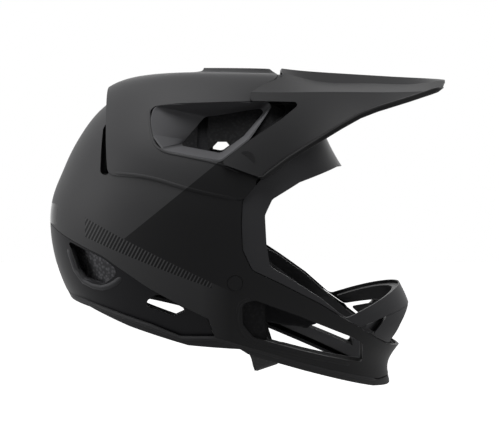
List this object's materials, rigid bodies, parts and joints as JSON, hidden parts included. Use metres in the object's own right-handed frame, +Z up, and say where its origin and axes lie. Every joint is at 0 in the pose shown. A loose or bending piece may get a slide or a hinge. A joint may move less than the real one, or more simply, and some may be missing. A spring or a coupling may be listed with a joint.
{
  "type": "full face downhill bike helmet",
  "caption": "Full face downhill bike helmet with a tilting visor, vented shell, foam liner, padded lining and a buckled chin strap.",
  "frame": {"origin": "middle of the head space, 50 mm below the brow line, on the helmet's middle plane", "axes": "+X forward through the eye opening, +Y to the wearer's left, +Z up through the crown"},
  "size_m": [0.3623, 0.2326, 0.2908],
  "materials": {
    "shell_black": "matt near black moulded shell",
    "shell_grey": "matt charcoal moulded shell",
    "visor_black": "satin moulded plastic",
    "trim_black": "soft edge moulding",
    "frame_grey": "satin moulded plastic",
    "foam_black": "expanded foam",
    "cover_black": "thin moulded cover",
    "pad_fabric": "brushed knit over foam",
    "webbing": "woven polyester webbing",
    "buckle_black": "moulded acetal",
    "slider_grey": "moulded acetal",
    "rivet_steel": "bright steel"
  },
  "bodies": {
    "helmet": {"main_shell": "shell_black", "crown_shell": "shell_grey", "brow_shell": "shell_black", "eyeport_frame": "trim_black", "lower_frame": "frame_grey", "base_trim": "trim_black", "window_duct_left": "shell_grey", "window_duct_right": "shell_grey", "eps_cap": "foam_black", "eps_sides": "foam_black", "eps_skirt": "foam_black", "chin_foam": "foam_black", "chin_cover": "cover_black", "chin_bridge": "frame_grey", "chin_struts": "frame_grey", "chin_grille": "cover_black", "visor_pins": "rivet_steel", "anchor_caps": "shell_black", "anchor_rivets": "rivet_steel", "anchor_spacers": "cover_black", "brow_pad": "pad_fabric", "crown_pad": "pad_fabric", "rear_pad": "pad_fabric", "side_pad_left": "pad_fabric", "side_pad_right": "pad_fabric", "neck_roll": "pad_fabric", "cheek_pad_left": "pad_fabric", "cheek_pad_right": "pad_fabric", "snap_sockets": "buckle_black", "snap_studs": "rivet_steel"},
    "visor": {"visor": "visor_black"},
    "chin_strap": {"strap_left": "webbing", "strap_right": "webbing", "buckle_receiver": "buckle_black", "buckle_tongue": "buckle_black", "strap_keeper": "trim_black"},
    "buckle_release": {"buckle_slider": "slider_grey"}
  },
  "joints": [
    {"name": "visor_tilt", "type": "hinge", "parent": "helmet", "child": "visor", "pos_m": [0.03696, 0, 0.05394], "axis": [0, -1, 0], "range_deg": [0, 6]},
    {"name": "strap_swing", "type": "hinge", "parent": "helmet", "child": "chin_strap", "pos_m": [0.02739, 0, -0.04843], "axis": [0, -1, 0], "range_deg": [-8, 8]},
    {"name": "release_slide", "type": "slide", "parent": "chin_strap", "child": "buckle_release", "axis": [-0.9469, 0, -0.3214], "range_m": [0, 0.005], "stiffness_N_per_m": 400, "springref_m": -0.002}
  ]
}
